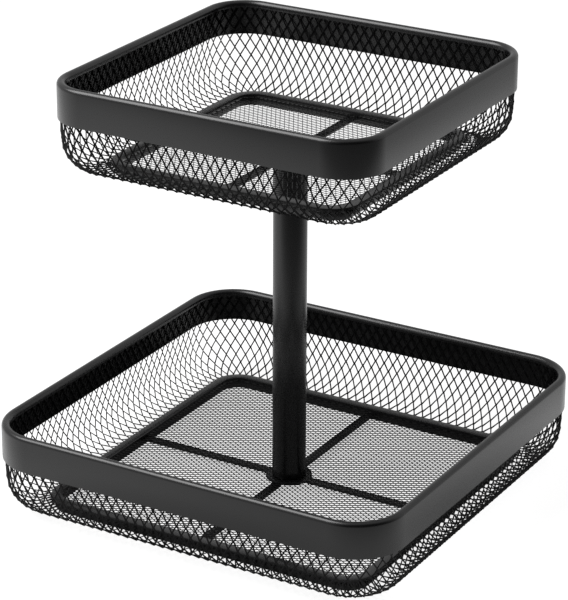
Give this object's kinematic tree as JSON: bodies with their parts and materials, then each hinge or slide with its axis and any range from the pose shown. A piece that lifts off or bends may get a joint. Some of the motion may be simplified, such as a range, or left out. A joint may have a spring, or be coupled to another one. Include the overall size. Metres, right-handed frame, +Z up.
{
  "type": "tiered wire basket",
  "caption": "Square mesh fruit basket with a smaller one above it on a round post, each with a rolled steel rim band, a curved diamond mesh wall and a flat mesh floor.",
  "frame": {"origin": "on the ground under the middle of the post", "axes": "+Z up along the post, +X to the right side, -Y to the front"},
  "size_m": [0.3, 0.3, 0.3],
  "materials": {
    "black_steel": "satin black powder coat",
    "zinc_steel": "bright zinc plate",
    "plug_steel": "plain turned steel"
  },
  "bodies": {
    "root": {"lower_rim_band": "black_steel", "lower_wall_mesh": "black_steel", "lower_floor_mesh": "black_steel", "lower_base_ring": "black_steel", "lower_clamp_ring": "black_steel", "lower_hub_disc": "black_steel", "lower_spoke_right": "black_steel", "lower_spoke_rear": "black_steel", "lower_spoke_left": "black_steel", "lower_spoke_front": "black_steel", "upper_rim_band": "black_steel", "upper_wall_mesh": "black_steel", "upper_floor_mesh": "black_steel", "upper_base_ring": "black_steel", "upper_clamp_ring": "black_steel", "upper_hub_disc": "black_steel", "upper_spoke_right": "black_steel", "upper_spoke_rear": "black_steel", "upper_spoke_left": "black_steel", "upper_spoke_front": "black_steel", "post_tube": "black_steel", "upper_washer": "zinc_steel", "post_plugs": "plug_steel", "tier_bolts": "zinc_steel"}
  },
  "joints": []
}
